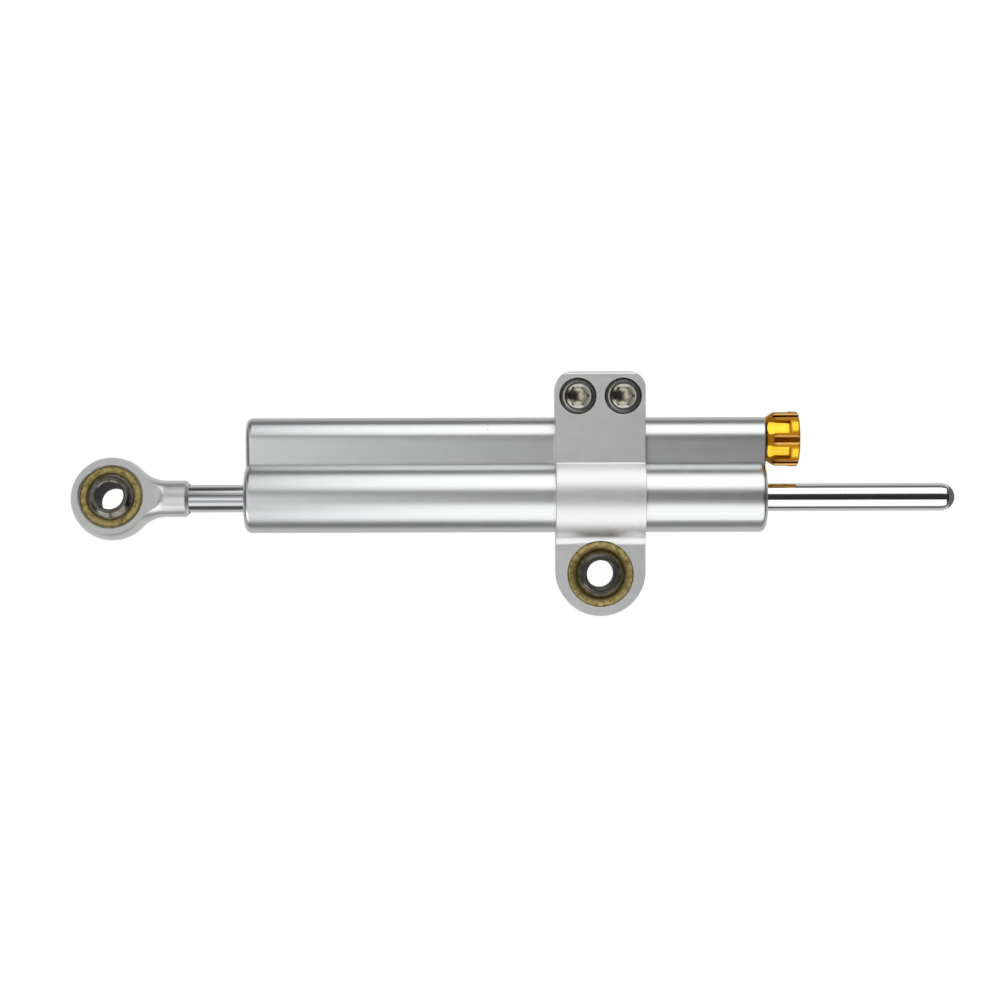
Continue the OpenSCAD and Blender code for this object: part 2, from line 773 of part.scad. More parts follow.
// Socket head screw with a chamfered head, standing on its head seat
module socket_screw() {
  edge = head_d * 0.08;
  tip = -bulge_r + screw_short;
  difference() {
    rotate_extrude() polygon([
      [0, tip], [screw_d / 2 - seat - edge / 2, tip], [screw_d / 2 - seat, tip + edge / 2],
      [screw_d / 2 - seat, head_seat_z], [head_d / 2, head_seat_z],
      [head_d / 2, head_seat_z + head_h - edge], [head_d / 2 - edge, head_seat_z + head_h],
      [0, head_seat_z + head_h]
    ]);
    translate([0, 0, head_seat_z + head_h - hex_depth])
      cylinder(d = hex_w / cos(30), h = hex_depth + past, $fn = 6);
  }
}

module clamp_screws() {
  color("dimgrey") for (side = [left, right]) translate([side * screw_spacing / 2, screw_y, 0])
    socket_screw();
}

module valve_cartridge() {
  port_room = port_d / 2 + 0.3;
  color("goldenrod") from_lobe_end(right) difference() {
    bar(cartridge_start, cartridge_end, cartridge_d);
    bar(-past, front_wall + past, spindle_d + 2 * running);
    difference() {
      bar(front_wall, orifice_start, needle_bore);
      translate([key_flat, -needle_bore, needle_start - 4])
        cube([needle_bore, 2 * needle_bore, needle_length + 6]);
    }
    bar(orifice_start - past, cartridge_end + past, orifice_d);
    outer_groove(valve_port - port_room, valve_port + port_room, cartridge_d, groove_floor_d);
    for (turn = [0, 90]) rotate([0, 0, turn]) translate([0, 0, valve_port]) rotate([90, 0, 0])
      cylinder(d = port_d, h = 2 * lobe_bore, center = true);
    for (at = cartridge_ring_places())
      outer_groove(at - small_ring_w / 2, at + small_ring_w / 2, cartridge_d, groove_floor_d);
    translate([0, 0, -past]) tube(0, past + cartridge_start + click_groove,
      2 * click_r + click_d, 2 * click_r - click_d);
  }
}

function cartridge_ring_places() = [valve_port - 4, cartridge_end - 1.9];

module cartridge_o_rings() {
  color("dimgrey") from_lobe_end(right) for (at = cartridge_ring_places())
    o_ring(at, lobe_bore - 2 * seat, groove_floor_d + 2 * seat);
}

// Needle with a keyed shank, a threaded bore at its back and a long cone at its tip
module needle_valve() {
  shank_r = needle_bore / 2 - running;
  stem_r = needle_bore * 0.21;
  shank_end = needle_start + needle_length;
  color("gainsboro") from_lobe_end(right) difference() {
    rotate_extrude() polygon([
      [0, needle_start], [shank_r, needle_start], [shank_r, shank_end], [stem_r, shank_end],
      [stem_r, valve_port], [orifice_d * 0.2, needle_tip], [0, needle_tip]
    ]);
    translate([key_flat - running, -needle_bore, 0]) cube([needle_bore, 2 * needle_bore, cartridge_end]);
    bar(needle_start - past, spindle_end + 1.5, spindle_thread_d + 2 * running);
  }
}

module adjuster_spindle() {
  ring_at = cartridge_start + front_wall / 2;
  collar = front_wall + face_gap;
  knob_seat = -knob_gap - spindle_seat;
  color("gainsboro") from_lobe_end(right) difference() {
    union() {
      bar(knob_seat, collar + past, spindle_d);
      bar(collar, collar + collar_length, needle_bore - 2 * running);
      bar(collar, spindle_end, spindle_thread_d);
    }
    outer_groove(ring_at - small_ring_w / 2, ring_at + small_ring_w / 2, spindle_d, spindle_d * 0.6);
    bar(knob_seat - past, knob_seat + spindle_seat, knob_screw_d);
  }
}

module spindle_o_ring() {
  color("dimgrey") from_lobe_end(right)
    o_ring(cartridge_start + front_wall / 2, spindle_d, spindle_d * 0.6 + 2 * seat);
}

// Cutter for one wide scallop, open towards the body
module scallop() {
  translate([knob_d / 2 - scallop_depth, -scallop_w / 2, knob_start - past])
    cube([knob_d, scallop_w, scallop_length + past]);
}

// Cutter for one narrow slot with chamfered edges, open towards the knob's outer face
module narrow_slot() {
  r = knob_d / 2;
  floor_r = r - slot_depth;
  half = slot_w / 2;
  out = r + past;
  translate([0, 0, knob_end - slot_length]) linear_extrude(slot_length + past) polygon([
    [floor_r, -half], [r - slot_chamfer, -half], [out, -half - slot_chamfer - past],
    [out, half + slot_chamfer + past], [r - slot_chamfer, half], [floor_r, half]
  ]);
}

module adjuster_knob() {
  r = knob_d / 2;
  head_floor = knob_end - knob_head_h - rod_room;
  click_floor = click_end();
  color("gold") about_lobe() difference() {
    rotate_extrude() {
      polygon([
        [0, knob_start], [r - taper_rise, knob_start], [r, knob_start + taper_length],
        [r, knob_end - knob_round], [r - knob_round, knob_end], [0, knob_end]
      ]);
      translate([r - knob_round, knob_end - knob_round]) circle(r = knob_round);
    }
    for (i = [0 : grip_count - 1]) rotate([0, 0, 360 * (i + 0.5) / grip_count + knob_turn]) scallop();
    for (i = [0 : grip_count - 1]) rotate([0, 0, 360 * i / grip_count + knob_turn]) narrow_slot();
    bar(knob_start - past, knob_start + spindle_seat + face_gap, spindle_d + 2 * seat);
    bar(knob_start, knob_end + past, knob_screw_d + 2 * seat);
    bar(head_floor, knob_end + past, knob_head_d + 2 * head_room);
    translate([click_r, 0, 0]) bar(knob_start - past, click_floor + face_gap, click_d + 2 * running);
  }
}

function click_ball_x() = x_right - cartridge_start - click_groove + face_gap + click_d / 2;
function click_end() = click_ball_x() + click_d / 2 + face_gap + click_spring_length;

module knob_screw() {
  head_floor = knob_end - knob_head_h - rod_room;
  color("dimgrey") about_lobe() difference() {
    union() {
      bar(knob_start + past, head_floor, knob_screw_d - 2 * seat);
      bar(head_floor, head_floor + knob_head_h, knob_head_d);
    }
    translate([0, 0, head_floor + knob_head_h / 2]) cylinder(d = knob_head_d / 2, h = knob_head_h, $fn = 6);
  }
}

module click_ball() {
  color("gainsboro") about_lobe() translate([click_r, 0, click_ball_x()]) sphere(d = click_d);
}

module click_spring() {
  color("dimgrey") about_lobe() translate([click_r, 0, 0])
    coil_spring(click_end() - click_spring_length, click_spring_length, click_d, click_wire, 3);
}

module compensator_piston() {
  middle = (compensator_start + compensator_end) / 2;
  spigot_d = spring_d - 4 * spring_wire;
  color("silver") from_lobe_end(left) difference() {
    union() {
      bar(compensator_start, compensator_end, lobe_bore - 2 * running);
      bar(compensator_start - 1.2, compensator_start + past, spigot_d);
    }
    outer_groove(middle - small_ring_w / 2, middle + small_ring_w / 2, lobe_bore, groove_floor_d);
    bar(compensator_end - 1.5, compensator_end + past, spigot_d);
  }
}

module compensator_o_ring() {
  color("dimgrey") from_lobe_end(left)
    o_ring((compensator_start + compensator_end) / 2, lobe_bore - 2 * running, groove_floor_d + 2 * seat);
}

module compensator_spring() {
  color("dimgrey") from_lobe_end(left)
    coil_spring(plug_end + face_gap, spring_length, spring_d, spring_wire, spring_turns);
}

module reservoir_plug() {
  middle = (plug_start + plug_end) / 2;
  color("lightgrey") from_lobe_end(left) difference() {
    bar(plug_start, plug_end, lobe_bore - 2 * seat);
    outer_groove(middle - small_ring_w / 2, middle + small_ring_w / 2, lobe_bore, groove_floor_d);
    bar(plug_start - past, middle, lobe_bore / 3);
  }
}

module plug_o_ring() {
  color("dimgrey") from_lobe_end(left)
    o_ring((plug_start + plug_end) / 2, lobe_bore - 2 * seat, groove_floor_d + 2 * seat);
}

module plug_circlip() {
  color("dimgrey") from_lobe_end(left)
    circlip(clip_inset + face_gap / 2, clip_t - face_gap, lobe_bore + 2 * clip_groove - 2 * face_gap);
}

damper_body();
left_gland();
right_gland();
gland_o_rings();
guide_bushes();
rod_seals();
rod_wipers();
gland_circlips();
piston_rod();
piston();
piston_guide_band();
piston_o_ring();
piston_circlips();
rod_end_housing();
rod_end_race();
rod_end_ball();
clamp();
clamp_race();
clamp_ball();
clamp_screws();
valve_cartridge();
cartridge_o_rings();
needle_valve();
adjuster_spindle();
spindle_o_ring();
adjuster_knob();
knob_screw();
click_ball();
click_spring();
compensator_piston();
compensator_o_ring();
compensator_spring();
reservoir_plug();
plug_o_ring();
plug_circlip();
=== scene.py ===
import json
import math

import bmesh
import bpy
from mathutils import Matrix, Vector


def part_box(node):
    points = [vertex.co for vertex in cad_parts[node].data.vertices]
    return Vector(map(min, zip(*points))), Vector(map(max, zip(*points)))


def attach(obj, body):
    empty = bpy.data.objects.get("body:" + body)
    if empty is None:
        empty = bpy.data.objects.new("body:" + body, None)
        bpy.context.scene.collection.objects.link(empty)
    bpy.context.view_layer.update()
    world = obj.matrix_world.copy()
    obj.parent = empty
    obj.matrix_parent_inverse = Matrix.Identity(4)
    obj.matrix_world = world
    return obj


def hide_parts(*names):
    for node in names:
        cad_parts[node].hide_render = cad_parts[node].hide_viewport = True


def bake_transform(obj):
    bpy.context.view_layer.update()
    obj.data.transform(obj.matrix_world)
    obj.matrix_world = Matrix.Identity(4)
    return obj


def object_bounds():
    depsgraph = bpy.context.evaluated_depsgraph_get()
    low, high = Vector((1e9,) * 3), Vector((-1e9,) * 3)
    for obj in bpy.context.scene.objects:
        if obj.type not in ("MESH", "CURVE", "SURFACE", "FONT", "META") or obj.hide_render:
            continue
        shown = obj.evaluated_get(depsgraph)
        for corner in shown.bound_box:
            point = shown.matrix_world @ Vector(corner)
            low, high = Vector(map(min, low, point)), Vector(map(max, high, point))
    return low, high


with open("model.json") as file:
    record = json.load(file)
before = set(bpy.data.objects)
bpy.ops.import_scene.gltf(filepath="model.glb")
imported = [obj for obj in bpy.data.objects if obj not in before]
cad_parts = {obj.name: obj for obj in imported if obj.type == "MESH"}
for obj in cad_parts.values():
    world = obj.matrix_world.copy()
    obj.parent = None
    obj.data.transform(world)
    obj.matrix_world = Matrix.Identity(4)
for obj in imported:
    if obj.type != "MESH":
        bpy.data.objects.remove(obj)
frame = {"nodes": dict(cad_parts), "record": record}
nodes = frame["nodes"]
cad_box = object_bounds()

# The camera
# A long lens looks straight down on the damper, which lies flat, and is rolled a hair so that
# the rod rises to the right.
MM = 0.001
rod_low, rod_high = (Vector(corner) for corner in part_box("piston_rod"))
rod_y = (rod_low.y + rod_high.y) / 2
lens_x = -28.95 * MM
lens_height = 650 * MM
camera_data = bpy.data.cameras.new("camera")
camera_data.sensor_width = 36.0
camera_data.lens = 80.66
camera = bpy.data.objects.new("camera", camera_data)
camera.location = (lens_x, rod_y - 0.6 * MM, lens_height)
camera.rotation_euler = (0, 0, math.radians(-0.15))
bpy.context.collection.objects.link(camera)
bpy.context.scene.camera = camera
bpy.context.scene.view_settings.view_transform = "Standard"


# The floor
# A wide pale board that the damper lies on. The lens sees it nearly white, with a soft shadow,
# and the metal mirrors a painted glow on it, pale beside the damper and dim further away.
def linear(code, share=1.0):
    """The linear colour of an sRGB hex code such as "C8C9CC", times a share."""
    parts = [int(code[place:place + 2], 16) / 255 for place in (0, 2, 4)]
    light = [part / 12.92 if part <= 0.04045 else ((part + 0.055) / 1.055) ** 2.4 for part in parts]
    return tuple(min(part * share, 1.0) for part in light) + (1.0,)


def add(tree, kind, sockets=None, output=0, **settings):
    """Adds a node and gives one of its outputs. A socket takes a plain value or another output."""
    made = tree.nodes.new(kind)
    for name, value in settings.items():
        setattr(made, name, value)
    for socket, value in (sockets or {}).items():
        if isinstance(value, bpy.types.NodeSocket):
            tree.links.new(value, made.inputs[socket])
        else:
            made.inputs[socket].default_value = value
    return made.outputs[output]


def new_material(name):
    """An empty material and its node tree, with a plain shader joined to the output."""
    material = bpy.data.materials.new(name)
    material.use_nodes = True
    return material, material.node_tree


floor_z = float(cad_box[0][2]) - 0.1 * MM
floor_half = 8.0
floor_mesh = bpy.data.meshes.new("floor")
floor_mesh.from_pydata(
    [(x * floor_half, y * floor_half, floor_z) for x, y in ((-1, -1), (1, -1), (1, 1), (-1, 1))],
    [], [(0, 1, 2, 3)])
floor = bpy.data.objects.new("floor", floor_mesh)
bpy.context.collection.objects.link(floor)

# Painted board: dead matt and nearly white. It glows nearly white to the lens, and to reflections with a painted pool
# of light, pale beside the rod and dim further away.
board_paint, tree = new_material("pale painted board")
board = add(tree, "ShaderNodeBsdfDiffuse", {"Color": linear("F0F0EE")})
rays = tree.nodes.new("ShaderNodeLightPath").outputs
seen_directly = add(tree, "ShaderNodeMath", {0: rays["Is Camera Ray"], 1: rays["Is Transmission Ray"]},
                    operation="MAXIMUM")
seen = add(tree, "ShaderNodeMath", {0: seen_directly, 1: rays["Is Glossy Ray"]}, operation="MAXIMUM")
spot = add(tree, "ShaderNodeNewGeometry", output="Position")
spot_y = add(tree, "ShaderNodeSeparateXYZ", {0: spot}, output="Y")
from_rod = add(tree, "ShaderNodeMath", {0: spot_y, 1: rod_y}, operation="SUBTRACT")
aside = add(tree, "ShaderNodeMath", {0: from_rod}, operation="ABSOLUTE")
# Painted light: for reflections the board glows pale within a few centimetres of the rod and dim beyond.
painted_glow_near_rod = add(tree, "ShaderNodeMapRange", {"Value": aside, "From Min": 33 * MM, "From Max": 60 * MM,
                                            "To Min": 0.66, "To Max": 0.1}, interpolation_type="SMOOTHSTEP")
strength = add(tree, "ShaderNodeMapRange", {"Value": seen_directly, "To Min": painted_glow_near_rod, "To Max": 1.06})
glow = add(tree, "ShaderNodeEmission", {"Color": (1, 1, 1, 1), "Strength": strength})
glow_share = add(tree, "ShaderNodeMath", {0: seen, 1: 0.9}, operation="MULTIPLY")
surface = add(tree, "ShaderNodeMixShader", {0: glow_share, 1: board, 2: glow})
tree.links.new(surface, tree.nodes["Material Output"].inputs["Surface"])
floor_mesh.materials.append(board_paint)

# The studio
# The room is a dim olive grey behind a white backdrop. Overhead a white panel at the left fades
# out towards the right, so the metal shows a pale middle at the left and a dark one at the right,
# and a white card stands beyond the rod end.
studio = bpy.data.worlds.new("studio")
studio.use_nodes = True
tree = studio.node_tree
direction = tree.nodes.new("ShaderNodeSeparateXYZ")
tree.links.new(add(tree, "ShaderNodeTexCoord", output="Generated"), direction.inputs[0])
towards_x, towards_y, towards_z = direction.outputs
from_left = add(tree, "ShaderNodeMapRange", {"Value": towards_x, "From Min": -0.2, "From Max": 0.2})
panel_levels = ((0.0, 1.7), (0.16, 1.35), (0.28, 0.85), (0.45, 0.24), (0.62, 0.065), (0.8, 0.036), (1.0, 0.034))

fade = tree.nodes.new("ShaderNodeValToRGB")
for place, level in panel_levels[1:-1]:
    fade.color_ramp.elements.new(place)
for stop, (place, level) in zip(fade.color_ramp.elements, panel_levels):
    stop.position = place
    stop.color = (level, level, level, 1)
tree.links.new(from_left, fade.inputs[0])
from_overhead = add(tree, "ShaderNodeMath", {0: towards_y, 1: towards_z}, operation="ARCTAN2")


def between(tree, value, low, high, edge):
    """1 where a value lies between two bounds, with soft edges of a given width."""
    over = add(tree, "ShaderNodeMapRange", {"Value": value, "From Min": low - edge / 2, "From Max": low + edge / 2},
               interpolation_type="SMOOTHSTEP")
    under = add(tree, "ShaderNodeMapRange", {"Value": value, "From Min": high + edge / 2, "From Max": high - edge / 2},
                interpolation_type="SMOOTHSTEP")
    return add(tree, "ShaderNodeMath", {0: over, 1: under}, operation="MULTIPLY")


panel_across = between(tree, towards_y, -0.47, 0.25, 0.1)
panel_along = between(tree, towards_x, -0.32, 2.0, 0.06)
panel = add(tree, "ShaderNodeMath", {0: panel_across, 1: panel_along}, operation="MULTIPLY")
card_along = between(tree, towards_x, -0.8, -0.168, 0.02)
card_across = between(tree, towards_y, -0.6, 0.75, 0.1)
card = add(tree, "ShaderNodeMath", {0: card_along, 1: card_across}, operation="MULTIPLY")
leftwards = add(tree, "ShaderNodeMapRange", {"Value": towards_x, "From Min": -0.05, "From Max": -0.13})
room = add(tree, "ShaderNodeMix", {0: leftwards, 6: linear("52524A"), 7: linear("3A3E52")}, output=2,
           data_type="RGBA")
low_down = between(tree, towards_z, -2.0, 0.1, 0.06)
with_horizon = add(tree, "ShaderNodeMix", {0: low_down, 6: room, 7: linear("6C6C6C")}, output=2, data_type="RGBA")
with_card = add(tree, "ShaderNodeMix", {0: card, 6: with_horizon, 7: linear("CACCCA")}, output=2, data_type="RGBA")
with_panel = add(tree, "ShaderNodeMix", {0: panel, 6: with_card, 7: fade.outputs[0]}, output=2, data_type="RGBA")

# The left rod mirrors a narrow slice of the room: a grey wall with dark ends, a strip light on
# either side, a thin one overhead and a dark gap beside it. Each has its edges in degrees from
# overhead, below zero on the near side, and its brightness. The far side dims to the rod end.
slice_x = (-0.172, -0.104)
wall_light = 0.5
bands = ((-180, -68, 0.08), (-60, -36, 1.0), (-11, 2, 1.1), (18, 29, 0.14), (50, 64, 1.0), (73, 180, 0.08))
band_edge = math.radians(8)
dimmed_by = 0.6
slice_light = wall_light
for start, end, light in bands:
    in_band = between(tree, from_overhead, math.radians(start), math.radians(end), band_edge)
    slice_light = add(tree, "ShaderNodeMix", {0: in_band, 2: slice_light, 3: light}, data_type="FLOAT")
to_rod_end = add(tree, "ShaderNodeMapRange", {"Value": towards_x, "From Min": -0.118, "From Max": -0.155,
                                              "To Max": dimmed_by})
far_side = add(tree, "ShaderNodeMapRange", {"Value": from_overhead, "From Min": math.radians(14),
                                            "From Max": math.radians(24)})
lost = add(tree, "ShaderNodeMath", {0: to_rod_end, 1: far_side}, operation="MULTIPLY")
left_over = add(tree, "ShaderNodeMath", {0: 1.0, 1: lost}, operation="SUBTRACT")
slice_light = add(tree, "ShaderNodeMath", {0: slice_light, 1: left_over}, operation="MULTIPLY")
in_slice = between(tree, towards_x, slice_x[0], slice_x[1], 0.006)
with_slice = add(tree, "ShaderNodeMix", {0: in_slice, 6: with_panel, 7: slice_light}, output=2,
                 data_type="RGBA")
rays = tree.nodes.new("ShaderNodeLightPath").outputs
seen_directly = add(tree, "ShaderNodeMath", {0: rays["Is Camera Ray"], 1: rays["Is Transmission Ray"]},
                    operation="MAXIMUM")
backdrop = add(tree, "ShaderNodeMix", {0: seen_directly, 6: with_slice, 7: (1, 1, 1, 1)}, output=2,
               data_type="RGBA")
tree.links.new(backdrop, tree.nodes["Background"].inputs["Color"])
bpy.context.scene.world = studio


def softbox(name, side, x_left, x_right, inner_left, inner_right, outer, radiance):
    """A long area light beside the rod, between two angles from straight overhead."""
    away = 0.6

    def edge(x, angle):
        return Vector((x, rod_y + side * away * math.sin(math.radians(angle)), away * math.cos(math.radians(angle))))

    inner = edge(x_right, inner_right) - edge(x_left, inner_left)
    middle = (edge(x_right, inner_right) + edge(x_left, inner_left)) / 2
    along = inner.normalized()
    across = edge(middle.x, outer) - middle
    across -= along * across.dot(along)
    lamp = bpy.data.lights.new(name, "AREA")
    lamp.shape = "RECTANGLE"
    lamp.size = inner.length
    lamp.size_y = across.length
    lamp.energy = radiance * math.pi * lamp.size * lamp.size_y
    lit = bpy.data.objects.new(name, lamp)
    lit.visible_camera = False
    centre = middle + across / 2
    back = along.cross(across).normalized()
    if back.z < 0:
        back = -back
    turn = Matrix((along, back.cross(along), back)).transposed().to_4x4()
    lit.matrix_world = Matrix.Translation(centre) @ turn
    bpy.context.collection.objects.link(lit)


softbox("softbox far", 1, -0.147, 0.6, 27, 30, 84, 1.45)
softbox("softbox near", -1, -0.11, 0.6, 20, 27, 84, 1.3)
softbox("softbox near strip", -1, -0.8, -0.235, 46, 46, 86, 1.6)


# The damper body
# One length of aluminium with the main tube, the adjuster's lobe and the web between them. It is
# drawn and machined, its ends are turned round, and it is then satin anodised.
def finished(made, node, body, material):
    """Makes a piece's modifiers final, and lets the piece stand for a CAD piece on its body."""
    bpy.context.view_layer.update()
    graph = bpy.context.evaluated_depsgraph_get()
    plain = bpy.data.meshes.new_from_object(made.evaluated_get(graph), depsgraph=graph)
    made.modifiers.clear()
    made.data = plain
    made.data.materials.clear()
    made.data.materials.append(material)
    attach(made, body)
    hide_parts(node)
    return made


def edges_broken(node, width, limit=30, segments=2, fillet=0.0, filleted=None):
    """A copy of a CAD piece with its sharp outer edges rounded off, and with fillets in some corners.

    The width of the rounded edges and that of the fillets are in millimetres.
    """
    work = bmesh.new()
    work.from_mesh(nodes[node].data)
    bmesh.ops.remove_doubles(work, verts=work.verts, dist=0.002 * MM)
    bmesh.ops.dissolve_limit(work, angle_limit=math.radians(0.3), verts=work.verts, edges=work.edges)
    bmesh.ops.recalc_face_normals(work, faces=work.faces)
    weight = work.edges.layers.float.new("bevel_weight_edge")
    for edge in work.edges:
        if len(edge.link_faces) == 2 and edge.calc_face_angle(0) > math.radians(limit):
            rounded = fillet if filleted and filleted(edge) else width if edge.is_convex else 0.0
            edge[weight] = rounded / max(width, fillet)
            edge.smooth = rounded > 0
    for face in work.faces:
        face.smooth = True
    mesh = bpy.data.meshes.new(node + "_finished")
    work.to_mesh(mesh)
    work.free()
    made = bpy.data.objects.new(node + "_finished", mesh)
    bpy.context.collection.objects.link(made)
    broken = made.modifiers.new("broken edges", "BEVEL")
    broken.width = max(width, fillet) * MM
    broken.segments = segments
    broken.limit_method = "WEIGHT"
    broken.miter_outer = "MITER_ARC"
    broken.use_clamp_overlap = True
    shading = made.modifiers.new("shading", "WEIGHTED_NORMAL")
    shading.weight = 100
    shading.keep_sharp = True
    return made


def brush_marks(tree, stretch, width_mm):
    """Fine marks of a given width, drawn out along an axis where the stretch is small."""
    place = add(tree, "ShaderNodeTexCoord", output="Object")
    drawn_out = add(tree, "ShaderNodeMapping", {"Vector": place, "Scale": stretch})
    return add(tree, "ShaderNodeTexNoise", {"Vector": drawn_out, "Scale": 1 / (width_mm * MM), "Detail": 2.0,
                                           "Roughness": 0.6})


def metal(tree, marks, colour, roughness, depth=0.002, tone=0.03, spread=0.03, clouds_mm=4.0, patina=None,
          recess_shade="2C2822", recess_shade_share=0.6, recess_shade_mm=0.8, base=None, covered=None, cover="3C3C38", cover_metal=0.0, cover_rough=0.7):
    """Joins a metal skin to the output: its marks, cloudy tone, painted shade in its recesses and what covers it."""
    place = add(tree, "ShaderNodeTexCoord", output="Object")
    clouds = add(tree, "ShaderNodeTexNoise", {"Vector": place, "Scale": 1 / (clouds_mm * MM), "Detail": 3.0,
                                             "Roughness": 0.6})
    uneven = add(tree, "ShaderNodeMix", {0: 0.4, 2: marks, 3: clouds}, data_type="FLOAT")
    worn = add(tree, "ShaderNodeMapRange", {"Value": uneven, "From Min": 0.35, "From Max": 0.65})
    skin = add(tree, "ShaderNodeMix", {0: worn, 6: linear(colour, 1 - tone), 7: linear(colour, 1 + tone)},
               output=2, data_type="RGBA")
    if base:
        skin = base(tree, skin)
    if patina:
        dull = add(tree, "ShaderNodeMapRange", {"Value": clouds, "From Min": 0.42, "From Max": 0.66})
        skin = add(tree, "ShaderNodeMix", {0: dull, 6: skin, 7: linear(patina)}, output=2, data_type="RGBA")
    # Painted shade: the colour darkens where the piece's own surfaces close in round a point, as in corners, slots and
    # sockets.
    free = add(tree, "ShaderNodeAmbientOcclusion", {"Distance": recess_shade_mm * MM}, output="AO", samples=8,
               only_local=True)
    recess_shade_amount = add(tree, "ShaderNodeMapRange", {"Value": free, "From Min": 0.85, "From Max": 0.35, "To Max": recess_shade_share})
    coloured = add(tree, "ShaderNodeMix", {0: recess_shade_amount, 6: skin, 7: linear(recess_shade)}, output=2, data_type="RGBA")
    rough = add(tree, "ShaderNodeMapRange", {"Value": uneven, "From Min": 0.3, "From Max": 0.7,
                                            "To Min": max(roughness - spread, 0.02),
                                            "To Max": roughness + spread})
    relief = add(tree, "ShaderNodeBump", {"Height": marks, "Distance": depth * MM, "Strength": 1.0})
    shader = tree.nodes["Principled BSDF"].inputs
    shader["Metallic"].default_value = 1.0
    if covered:
        if cover:
            coloured = add(tree, "ShaderNodeMix", {0: covered, 6: coloured, 7: linear(cover)}, output=2,
                           data_type="RGBA")
        rough = add(tree, "ShaderNodeMix", {0: covered, 2: rough, 3: cover_rough}, data_type="FLOAT")
        if cover_metal < 1:
            bare = add(tree, "ShaderNodeMapRange", {"Value": covered, "To Min": 1.0, "To Max": cover_metal})
            tree.links.new(bare, shader["Metallic"])
    tree.links.new(coloured, shader["Base Color"])
    tree.links.new(rough, shader["Roughness"])
    tree.links.new(relief, shader["Normal"])


def nicks(tree, skin):
    """Darkens a skin in small nicks, a few to each hand's breadth."""
    apart, across = 9 * MM, 0.22 * MM
    place = add(tree, "ShaderNodeTexCoord", output="Object")
    near = add(tree, "ShaderNodeTexVoronoi", {"Vector": place, "Scale": 1 / apart, "Randomness": 1.0})
    inside = add(tree, "ShaderNodeMapRange", {"Value": near, "From Min": across / apart * 1.6,
                                             "From Max": across / apart, "To Max": 0.35})
    return add(tree, "ShaderNodeMix", {0: inside, 6: skin, 7: linear("5E5E5C")}, output=2, data_type="RGBA")


# Satin anodised aluminium: soft broad highlights, with faint draw marks along the tube.
satin_aluminium, tree = new_material("satin anodised aluminium")
# Its recesses get a little painted shade in grey.
metal(tree, brush_marks(tree, (0.02, 1, 1), 0.25), "DADBDC", 0.3, depth=0.0014, tone=0.02, spread=0.02,
      recess_shade="6A6A68", recess_shade_share=0.3, base=nicks)


def beside_tube(edge):
    """Whether an edge is the corner where the web meets the main tube."""
    start, end = (corner.co for corner in edge.verts)
    level = (start.y + end.y) / 2 - rod_y
    return (end - start).length > 5 * MM and abs(start.y - end.y) < 0.1 * MM and 9.5 * MM < level < 10.5 * MM


body_piece = finished(edges_broken("damper_body", 0.12, limit=40, fillet=0.3, filleted=beside_tube),
                      "damper_body", "barrel", satin_aluminium)


# The guide bushes
# Two bronze bushes that the rod slides in. They are pressed from powder and sintered, soaked in
# oil, and pushed into the glands.
def dressed(node, material):
    """Gives a CAD piece, whose shape stays, its material."""
    nodes[node].data.materials.clear()
    nodes[node].data.materials.append(material)


# Sintered bronze: dull and brown, with open pores of about a fifth of a millimetre.
sintered_bronze, tree = new_material("sintered bronze")
metal(tree, brush_marks(tree, (1, 1, 1), 0.2), "A8805A", 0.5, depth=0.02, tone=0.25, spread=0.08,
      clouds_mm=1.5)
dressed("guide_bushes", sintered_bronze)


# The rod seals, wipers and O-rings
# Lip seals keep the oil in, wipers keep dirt off the rod, and O-rings seal the glands, the
# piston, the cartridge, the spindle, the floating piston and the plug. All are moulded in
# nitrile rubber and snapped into their grooves.
def moulded(tree, colour, roughness, grain_mm, depth, tone, bloom):
    """Joins a moulded skin to the output: fine relief of the mould and a pale bloom in patches."""
    grain = brush_marks(tree, (1, 1, 1), grain_mm)
    clouds = brush_marks(tree, (1, 1, 1), grain_mm * 10)
    tint = add(tree, "ShaderNodeMix", {0: grain, 6: linear(colour, 1 - tone), 7: linear(colour, 1 + tone)},
               output=2, data_type="RGBA")
    dusty = add(tree, "ShaderNodeMapRange", {"Value": clouds, "From Min": 0.5, "From Max": 0.75, "To Max": 0.3})
    skin = add(tree, "ShaderNodeMix", {0: dusty, 6: tint, 7: linear(bloom)}, output=2, data_type="RGBA")
    rough = add(tree, "ShaderNodeMapRange", {"Value": clouds, "From Min": 0.3, "From Max": 0.7,
                                            "To Min": roughness - 0.1, "To Max": roughness + 0.1})
    relief = add(tree, "ShaderNodeBump", {"Height": grain, "Distance": depth * MM, "Strength": 1.0})
    shader = tree.nodes["Principled BSDF"].inputs
    tree.links.new(skin, shader["Base Color"])
    tree.links.new(rough, shader["Roughness"])
    tree.links.new(relief, shader["Normal"])


# Nitrile rubber: black, a little shiny where oil wets it and dusty grey elsewhere.
nitrile_rubber, tree = new_material("moulded nitrile rubber")
moulded(tree, "1C1C1B", 0.5, 0.12, 0.006, 0.3, "4A4A46")
for seal in ("rod_seals", "rod_wipers", "gland_o_rings", "piston_o_ring", "cartridge_o_rings",
             "spindle_o_ring", "compensator_o_ring", "plug_o_ring"):
    dressed(seal, nitrile_rubber)


